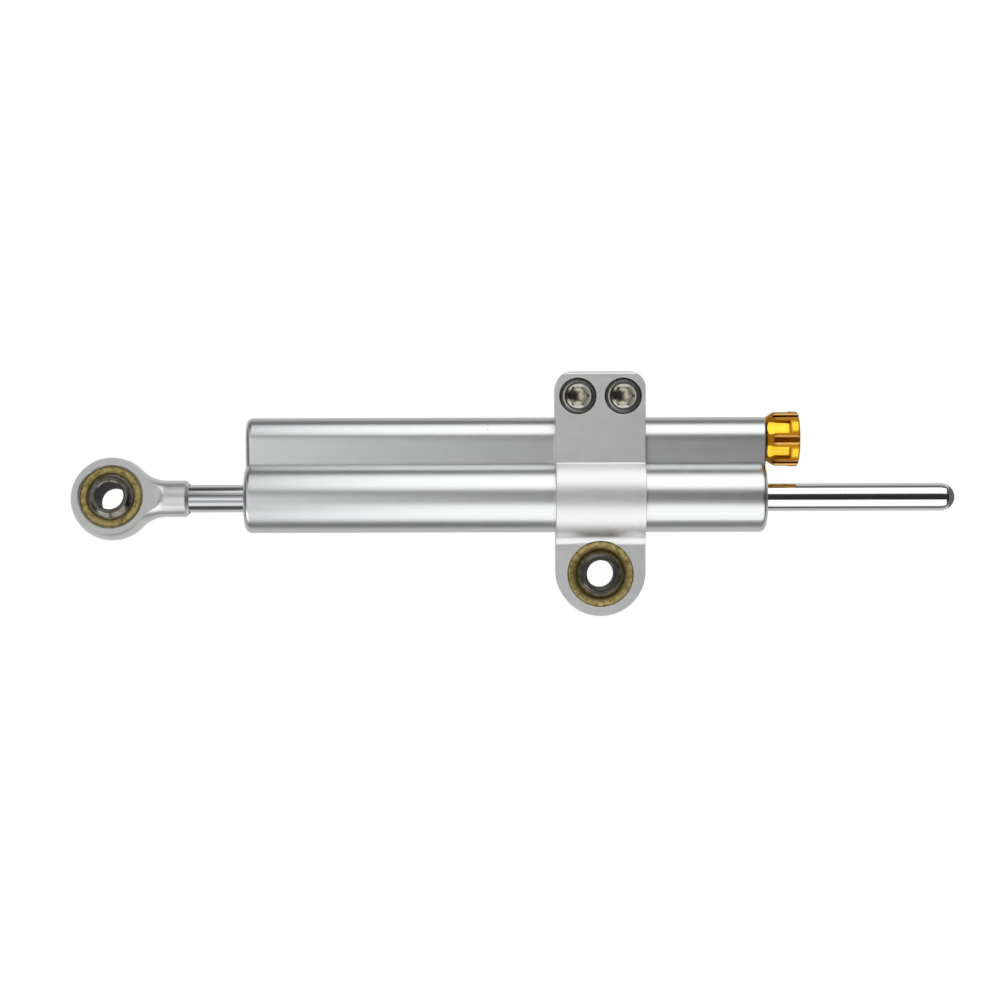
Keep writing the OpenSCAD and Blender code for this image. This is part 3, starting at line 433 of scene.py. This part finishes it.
# The glands
# Two turned aluminium bushings that close the main bore at its ends and hold the guide bushes,
# seals and wipers. They are hard anodised and slide into the bore against a shoulder.
def lathe_marks(tree, centre, turn, pitch_mm):
    """Fine rings round an axis, as a lathe tool leaves them on faces and on round sides."""
    place = add(tree, "ShaderNodeTexCoord", output="Object")
    chucked = add(tree, "ShaderNodeMapping", {"Vector": place, "Location": centre, "Rotation": turn},
                  vector_type="TEXTURE")
    flat = add(tree, "ShaderNodeVectorMath", {0: chucked, 1: (1, 1, 0)}, operation="MULTIPLY")
    radius = add(tree, "ShaderNodeVectorMath", {0: flat}, output="Value", operation="LENGTH")
    along = add(tree, "ShaderNodeSeparateXYZ", {0: chucked}, output="Z")
    tool_path = add(tree, "ShaderNodeCombineXYZ", {"X": radius, "Y": along})
    return add(tree, "ShaderNodeTexNoise", {"Vector": tool_path, "Scale": 1 / (pitch_mm * MM), "Detail": 1.5,
                                           "Roughness": 0.5})


# Hard anodised aluminium: a brownish dark grey, fairly matt, with the lathe's rings under it.
rod_axis = Vector((0, rod_y, 0))
along_x = (0, math.pi / 2, 0)
hard_aluminium, tree = new_material("hard anodised aluminium")
metal(tree, lathe_marks(tree, rod_axis, along_x, 0.18), "8A8882", 0.36, depth=0.004, tone=0.08)
for gland in ("left_gland", "right_gland"):
    dressed(gland, hard_aluminium)

# The gland circlips
# Two spring steel rings with lugs, stamped and phosphated, that snap into grooves at the ends of
# the bore and hold the glands in. Phosphate is dark grey and grainy.
phosphated_steel, tree = new_material("phosphated spring steel")
metal(tree, brush_marks(tree, (1, 1, 1), 0.15), "5C5C5E", 0.42, depth=0.006, tone=0.18, clouds_mm=1.5)
dressed("gland_circlips", phosphated_steel)

# The rod
# One ground steel rod that runs right through the body, hard chromed and polished along its
# length, with a stud for the rod end at the left and a plain domed end at the right.
dome_length = 2.1


def past_chrome(tree):
    """Where the chrome has stopped, at the dome."""
    along = add(tree, "ShaderNodeSeparateXYZ", {0: add(tree, "ShaderNodeTexCoord", output="Object")}, output="X")
    chrome_end = rod_high.x - dome_length * MM
    return add(tree, "ShaderNodeMapRange", {"Value": along, "From Min": chrome_end,
                                           "From Max": chrome_end + 0.1 * MM})


# Hard chrome: a nearly clear mirror with a cool tone, broken by fine lengthwise polish lines.
hard_chrome, tree = new_material("polished hard chrome")
metal(tree, brush_marks(tree, (0.01, 1, 1), 0.35), "DCDDDF", 0.05, depth=0.0005, tone=0.03, spread=0.02,
      covered=past_chrome(tree), cover="6A6A62")
dressed("piston_rod", hard_chrome)

# The piston
# A turned and hard anodised aluminium disc that parts the two oil chambers. It sits on the rod
# between two circlips.
dressed("piston", hard_aluminium)
dressed("piston_circlips", phosphated_steel)

# The piston's guide band
# A split band of bronze-filled PTFE that slides on the bore and turns freely round the piston.
# The plastic is dull, waxy and brown, with fine bronze specks.
filled_ptfe, tree = new_material("bronze-filled PTFE")
moulded(tree, "8C7A58", 0.45, 0.15, 0.003, 0.35, "A89468")
dressed("piston_guide_band", filled_ptfe)

# The rod end
# A turned and milled aluminium eye on a round neck, screwed on the rod's stud. Two flats run
# out at the neck, its corners are broken, and it is bead blasted and clear anodised.
clear_aluminium, tree = new_material("blasted and clear anodised aluminium")
# Its recesses get a little painted shade in grey.
metal(tree, brush_marks(tree, (1, 1, 1), 0.12), "E2E3E2", 0.34, depth=0.003, tone=0.03, clouds_mm=5.0,
      recess_shade="6A6A66", recess_shade_share=0.2)
swing = next(joint for joint in frame["record"]["behaviour"]["joints"] if joint["name"] == "rod_ball_swing")
eye_centre = Vector(swing["pos_m"])
eye_axis = Vector(swing["axis"])


def at_seat(edge):
    """Whether an edge is one of the two rings of the chamfer round the race's seat."""
    away = (edge.verts[0].co + edge.verts[1].co) / 2 - eye_centre
    radius = (away - eye_axis * away.dot(eye_axis)).length
    return 8.7 * MM < radius < 9.7 * MM


rod_end_piece = finished(
    edges_broken("rod_end_housing", 0.4, limit=20, segments=3, fillet=0.05, filleted=at_seat),
    "rod_end_housing", "rod", clear_aluminium)

# The rod end's race
# A brass ring turned to a cone outside and a sphere inside, pressed into the eye, where it holds
# the ball.
eye_turn = tuple(Vector((0, 0, 1)).rotation_difference(eye_axis).to_euler())


def from_axis(tree, centre, turn):
    """The distance of a point from a piece's axis."""
    place = add(tree, "ShaderNodeTexCoord", output="Object")
    chucked = add(tree, "ShaderNodeMapping", {"Vector": place, "Location": centre, "Rotation": turn},
                  vector_type="TEXTURE")
    flat = add(tree, "ShaderNodeVectorMath", {0: chucked, 1: (1, 1, 0)}, operation="MULTIPLY")
    return add(tree, "ShaderNodeVectorMath", {0: flat}, output="Value", operation="LENGTH")


def turned_brass(name, centre, turn, shade_from=0.0, shade_to=0.0):
    """Turned brass: dull gold with fine rings and spotted brown, with painted shade in dark brown towards what it
    holds.
    """
    def shaded_inwards(tree, skin):
        # Painted shade: the brass darkens to brown from one radius inwards to another, towards the ball.
        inwards = add(tree, "ShaderNodeMapRange", {"Value": from_axis(tree, centre, turn),
                                                  "From Min": shade_from * MM, "From Max": shade_to * MM,
                                                  "To Max": 0.7})
        return add(tree, "ShaderNodeMix", {0: inwards, 6: skin, 7: linear("5A482A")}, output=2,
                   data_type="RGBA")

    material, tree = new_material(name)
    # Its recesses also get painted shade in dark brown.
    metal(tree, lathe_marks(tree, centre, turn, 0.12), "C6B67C", 0.52, depth=0.006, tone=0.12, spread=0.08,
          clouds_mm=1.4, patina="84743E", recess_shade="2A2010", recess_shade_share=0.5, base=shaded_inwards if shade_to else None)
    return material


# The rod end's race is painted darker from 7.8 mm inwards to 6.7 mm, as shade towards the ball.
dressed("rod_end_race", turned_brass("turned brass, rod end", eye_centre, eye_turn, 7.8, 6.7))


# The rod end's ball
# A hardened steel ball with an 8 mm bore and flat lands, ground and polished. It takes the
# bolt and swings in the race. Its bore is painted dark and matt.
def ground_steel(name, centre, turn, bore=0.0):
    """Ground steel: dark and glossy, with a faint brown cast from its oil and fine grinding rings."""
    # Inside the bore the steel is painted dark and matt.
    def in_bore(tree):
        return add(tree, "ShaderNodeMapRange", {"Value": from_axis(tree, centre, turn),
                                               "From Min": (bore / 2 + 0.1) * MM,
                                               "From Max": (bore / 2 + 0.03) * MM})

    material, tree = new_material(name)
    metal(tree, lathe_marks(tree, centre, turn, 0.1), "8C8984", 0.2, depth=0.0015, tone=0.08, spread=0.05,
          clouds_mm=2.0, patina="726A5E", covered=in_bore(tree) if bore else None)
    return material


ball_bore = 8
dressed("rod_end_ball", ground_steel("ground steel, rod end", eye_centre, eye_turn, ball_bore))

# The clamp
# A block of aluminium milled to fit round the body's tube and lobe, bored for the bearing and
# the screws, and split on the screws' side. It grips the body when the screws close the slit.
# Milled aluminium: satin, with fine cutter lines along the tube.
milled_aluminium, tree = new_material("milled satin aluminium")
# Its recesses get painted shade in dark grey.
metal(tree, brush_marks(tree, (0.04, 1, 1), 0.22), "E2E2E3", 0.42, depth=0.0035, tone=0.035, spread=0.04,
      recess_shade="4A4A46", recess_shade_mm=1.2, base=nicks)
clamp_piece = finished(edges_broken("clamp", 0.22, segments=3), "clamp", "clamp_block",
                       milled_aluminium)

# The clamp's race and ball
# The same bearing as in the rod end, pressed into the clamp's eye. Its ball takes the bolt that
# holds the damper to the motorcycle.
clamp_eye = Vector((0, 0, 0))
along_z = (0, 0, 0)
# The clamp's race is painted darker from 8.4 mm inwards to 7.2 mm, as shade towards the ball.
dressed("clamp_race", turned_brass("turned brass, clamp", clamp_eye, along_z, 8.4, 7.2))
dressed("clamp_ball", ground_steel("ground steel, clamp", clamp_eye, along_z, ball_bore))

# The clamp's screws
# Two M6 socket head screws that close the clamp, cold headed in steel, knurled round the head
# and zinc plated over. A row of one screw is made by the nodes below.
screws_low, screws_high = (Vector(corner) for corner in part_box("clamp_screws"))
head_radius = (screws_high.y - screws_low.y) / 2
head_height = 6.0 * MM
shank_radius = 3.0 * MM
socket_width = 5.0 * MM
socket_depth = 3.0 * MM
knurls = 36
screw_apart = (screws_high.x - screws_low.x) - 2 * head_radius


def screw_mesh():
    """One socket head screw, drawn as rings of points from its tip to the floor of its socket."""
    top, tip = screws_high.z, screws_low.z
    centre = Vector((screws_low.x + head_radius, (screws_low.y + screws_high.y) / 2, 0))
    count = knurls * 4

    def round_ring(radius, knurl=0.0):
        return lambda step: radius - (knurl if step % 4 > 1 else 0.0)

    def hexagon(width):
        side = math.pi / 3
        return lambda step: width / 2 / math.cos((step * math.tau / count) % side - side / 2)

    rings = (
        (round_ring(shank_radius - 0.7 * MM), tip),
        (round_ring(shank_radius), tip + 0.7 * MM),
        (round_ring(shank_radius), top - head_height),
        (round_ring(head_radius - 0.3 * MM), top - head_height),
        (round_ring(head_radius, 0.12 * MM), top - head_height + 0.3 * MM),
        (round_ring(head_radius, 0.12 * MM), top - 0.75 * MM),
        (round_ring(head_radius - 0.14 * MM), top - 0.65 * MM),
        (round_ring(head_radius - 0.75 * MM), top - 0.04 * MM),
        (round_ring(head_radius - 0.95 * MM), top),
        (round_ring(3.5 * MM), top),
        (round_ring(3.35 * MM), top - 0.06 * MM),
        (hexagon(socket_width + 0.15 * MM), top - 0.42 * MM),
        (hexagon(socket_width), top - 0.6 * MM),
        (hexagon(socket_width), top - socket_depth),
        (round_ring(2.2 * MM), top - socket_depth - 0.1 * MM),
    )
    work = bmesh.new()
    made = []
    for radius, z in rings:
        ring = []
        for step in range(count):
            angle = step * math.tau / count + math.pi / 6
            reach = radius(step)
            ring.append(work.verts.new((centre.x + reach * math.sin(angle), centre.y + reach * math.cos(angle), z)))
        made.append(ring)
    for lower, upper in zip(made, made[1:]):
        for step in range(count):
            after = (step + 1) % count
            work.faces.new((lower[step], upper[step], upper[after], lower[after]))
    for ring, z in ((made[0], tip), (made[-1], top - socket_depth - 0.9 * MM)):
        pole = work.verts.new((centre.x, centre.y, z))
        for step in range(count):
            work.faces.new((ring[step], ring[(step + 1) % count], pole))
    bmesh.ops.recalc_face_normals(work, faces=work.faces)
    mesh = bpy.data.meshes.new("clamp_screws_finished")
    work.to_mesh(mesh)
    work.free()
    mesh.shade_smooth()
    mesh.set_sharp_from_angle(angle=math.radians(28))
    return mesh


def row_of_screws():
    """A node tree that sets copies of the screw it is given in a row along X."""
    tree = bpy.data.node_groups.new("row of screws", "GeometryNodeTree")
    for name, kind in (("Screw", "Geometry"), ("Count", "Int"), ("Apart", "Float"), ("Plating", "Material")):
        tree.interface.new_socket(name, in_out="INPUT", socket_type="NodeSocket" + kind)
    tree.interface.new_socket("Screws", in_out="OUTPUT", socket_type="NodeSocketGeometry")
    given = tree.nodes.new("NodeGroupInput").outputs
    step = add(tree, "ShaderNodeCombineXYZ", {"X": given["Apart"]})
    places = add(tree, "GeometryNodeMeshLine", {"Count": given["Count"], "Offset": step})
    copies = add(tree, "GeometryNodeInstanceOnPoints", {"Points": places, "Instance": given["Screw"]})
    real = add(tree, "GeometryNodeRealizeInstances", {"Geometry": copies})
    plated = add(tree, "GeometryNodeSetMaterial", {"Geometry": real, "Material": given["Plating"]})
    tree.links.new(plated, tree.nodes.new("NodeGroupOutput").inputs["Screws"])
    return tree


def socket_brown_reflection(tree, skin):
    """A painted brownish reflection inside the sockets, over the plating's own tone."""
    place = add(tree, "ShaderNodeTexCoord", output="Object")
    folded = add(tree, "ShaderNodeVectorMath", {0: place}, operation="ABSOLUTE")
    middle = (screw_apart / 2, (screws_low.y + screws_high.y) / 2, 0)
    aside = add(tree, "ShaderNodeVectorMath", {0: folded, 1: middle}, operation="SUBTRACT")
    flat = add(tree, "ShaderNodeVectorMath", {0: aside, 1: (1, 1, 0)}, operation="MULTIPLY")
    radius = add(tree, "ShaderNodeVectorMath", {0: flat}, output="Value", operation="LENGTH")
    inside = add(tree, "ShaderNodeMapRange", {"Value": radius, "From Min": 3.3 * MM, "From Max": 2.9 * MM})
    # Painted reflection: inside the sockets the plating is tinted a warm brown-beige.
    return add(tree, "ShaderNodeMix", {0: inside, 6: skin, 7: linear("A49C8C")}, output=2, data_type="RGBA")


# Zinc plated steel: dark grey with a warm cast and glossy on the flats, with a painted brownish
# reflection in the sockets and painted shade in black in their corners and between the knurls.
zinc_steel, tree = new_material("zinc plated steel")
metal(tree, brush_marks(tree, (1, 1, 1), 0.2), "A4A49E", 0.2, depth=0.002, tone=0.08, spread=0.05,
      clouds_mm=1.2, recess_shade="14120E", recess_shade_share=1.0, recess_shade_mm=0.9, base=socket_brown_reflection)
screws = bpy.data.objects.new("clamp_screws_finished", screw_mesh())
bpy.context.collection.objects.link(screws)
row = screws.modifiers.new("row", "NODES")
row.node_group = row_of_screws()
for socket in row.node_group.interface.items_tree:
    if socket.in_out == "INPUT" and socket.name != "Screw":
        row[socket.identifier] = {"Count": 2, "Apart": screw_apart, "Plating": zinc_steel}[socket.name]
finished(screws, "clamp_screws", "clamp_block", zinc_steel)

# The valve cartridge
# A turned brass cartridge with the bypass orifice, screwed into the lobe, where it carries the
# needle and the adjuster's spindle.
lobe_low, lobe_high = (Vector(corner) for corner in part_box("adjuster_knob"))
lobe_axis = (lobe_low + lobe_high) / 2
lobe_axis.x = 0
dressed("valve_cartridge", turned_brass("turned brass, cartridge", lobe_axis, along_x))

# The needle and the adjuster's spindle
# The needle closes the orifice. It is keyed, and the spindle's thread moves it along when the
# knob turns. Both are turned and ground in steel.
spindle_steel = ground_steel("ground steel, adjuster", lobe_axis, along_x)
for part in ("needle_valve", "adjuster_spindle"):
    dressed(part, spindle_steel)

# The clicks
# A small steel ball on a coil spring in the knob, which snaps into the body's end face.
dressed("click_ball", spindle_steel)
dressed("click_spring", phosphated_steel)

# The adjuster knob
# A turned aluminium knob with milled finger panels and slots round it, dyed gold when it is
# anodised and held on the spindle by a screw. The dye's gold shows on the panels and pads; the
# lands and the slot floors are painted brown as shade, the slots' chamfers are painted pale tan
# as highlights, and painted shade darkens the recesses.
grips = 6
grips_turn = math.radians(3.5)
panel_top = 7.15 * MM
panel_end = lobe_low.x + 6.6 * MM
slot_top = 7.6 * MM
slot_start = lobe_high.x - 7.65 * MM


def knob_zones(tree):
    """The knob's shiny panels and pads, the floors of its slots and their chamfers, as three masks."""
    place = add(tree, "ShaderNodeTexCoord", output="Object")
    centred = add(tree, "ShaderNodeVectorMath", {0: place, 1: lobe_axis}, operation="SUBTRACT")
    parts = tree.nodes.new("ShaderNodeSeparateXYZ")
    tree.links.new(centred, parts.inputs[0])
    along, aside, up = parts.outputs
    angle = add(tree, "ShaderNodeMath", {0: aside, 1: up}, operation="ARCTAN2")
    turned = add(tree, "ShaderNodeMath", {0: angle, 1: grips_turn}, operation="ADD")
    from_slot = add(tree, "ShaderNodeMath", {0: turned, 1: math.pi / grips}, operation="PINGPONG")
    radius = from_axis(tree, lobe_axis, along_x)

    def past(value, bound, soft):
        return add(tree, "ShaderNodeMapRange", {"Value": value, "From Min": bound, "From Max": bound + soft})

    def both(first, second):
        return add(tree, "ShaderNodeMath", {0: first, 1: second}, operation="MULTIPLY")

    hair = 0.1 * MM
    degree = math.radians(1)
    side = add(tree, "ShaderNodeMapRange", {"Value": along, "From Min": lobe_low.x, "From Max": lobe_low.x + 1.5 * MM,
                                           "To Min": 14.5 * degree, "To Max": 12 * degree})
    from_side = add(tree, "ShaderNodeMath", {0: from_slot, 1: side}, operation="SUBTRACT")
    panel = both(both(past(radius, panel_top, -hair), past(from_side, 0.0, degree)),
                 past(along, panel_end, -hair))
    pad = both(past(from_slot, 16 * degree, 6 * degree), past(along, panel_end + 0.35 * MM, 3 * hair))
    rim = past(along, lobe_high.x - 0.3 * MM, hair)
    shiny = add(tree, "ShaderNodeMath", {0: panel, 1: pad}, operation="MAXIMUM")
    shiny = add(tree, "ShaderNodeMath", {0: shiny, 1: rim}, operation="MAXIMUM")
    in_slot = both(past(from_slot, 6.8 * degree, -degree / 2), past(along, slot_start, hair))
    floor = both(in_slot, past(radius, slot_top + hair, -hair))
    beside = both(past(from_slot, 9.6 * degree, -degree / 2), past(along, slot_start - 3 * hair, hair))
    chamfer = both(both(beside, past(radius, slot_top, hair)), past(from_slot, 5.8 * degree, degree / 2))
    return shiny, floor, chamfer


gold_aluminium, tree = new_material("gold anodised aluminium")
shiny, slot_floor, slot_chamfer = knob_zones(tree)
dull = add(tree, "ShaderNodeMath", {0: 1.0, 1: shiny}, operation="SUBTRACT")


def painted_shade_and_highlights(tree, skin):
    """The dye's gold on the panels and pads, with painted shade in brown on the lands and in the slots and painted
    highlights in tan on the slots' chamfers.
    """
    # Painted shade on the lands and the slot floors, and painted highlights on the slots' chamfers.
    lands = add(tree, "ShaderNodeMix", {0: dull, 6: skin, 7: linear("CC8A20")}, output=2, data_type="RGBA")
    slots = add(tree, "ShaderNodeMix", {0: slot_floor, 6: lands, 7: linear("8A4804")}, output=2, data_type="RGBA")
    return add(tree, "ShaderNodeMix", {0: slot_chamfer, 6: slots, 7: linear("FFD080")}, output=2,
               data_type="RGBA")


# Painted shade in dark brown also darkens the knob's slots and recesses.
metal(tree, brush_marks(tree, (0.04, 1, 1), 0.55), "E4BC36", 0.2, depth=0.012, tone=0.24, spread=0.06,
      recess_shade="3A1C00", recess_shade_share=0.6, recess_shade_mm=1.0, base=painted_shade_and_highlights, covered=dull, cover=None, cover_metal=1.0,
      cover_rough=0.5)
knob_piece = finished(edges_broken("adjuster_knob", 0.12, segments=3), "adjuster_knob", "adjuster",
                      gold_aluminium)

# The knob's screw
# A small socket screw in the knob's end, zinc plated like the clamp's.
zinc_knob_screw, tree = new_material("zinc plated steel, knob screw")
# Its socket and recesses get painted shade in near black.
metal(tree, brush_marks(tree, (1, 1, 1), 0.2), "8A877E", 0.24, depth=0.003, tone=0.12, spread=0.06,
      clouds_mm=1.2, recess_shade="1A1712", recess_shade_share=0.8)
dressed("knob_screw", zinc_knob_screw)

# The compensator's piston
# A floating piston in the lobe's left half, turned and hard anodised. It gives way when the oil
# grows warm.
lobe_hard_aluminium, tree = new_material("hard anodised aluminium, lobe")
metal(tree, lathe_marks(tree, lobe_axis, along_x, 0.18), "8A8882", 0.36, depth=0.004, tone=0.08)
dressed("compensator_piston", lobe_hard_aluminium)

# The compensator's spring
# A coil spring of phosphated wire. One end stands on the plug and the other against the floating
# piston, whose travel closes its turns up or opens them evenly; here it is a plain, fixed copy.
spring = bpy.data.objects.new("compensator_spring_finished", nodes["compensator_spring"].data.copy())
bpy.context.collection.objects.link(spring)
spring.data.materials.clear()
spring.data.materials.append(phosphated_steel)
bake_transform(spring)
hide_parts("compensator_spring")

# The reservoir plug
# A turned and hard anodised plug that closes the lobe's left end behind the spring, held in by
# a circlip.
dressed("reservoir_plug", lobe_hard_aluminium)
dressed("plug_circlip", phosphated_steel)
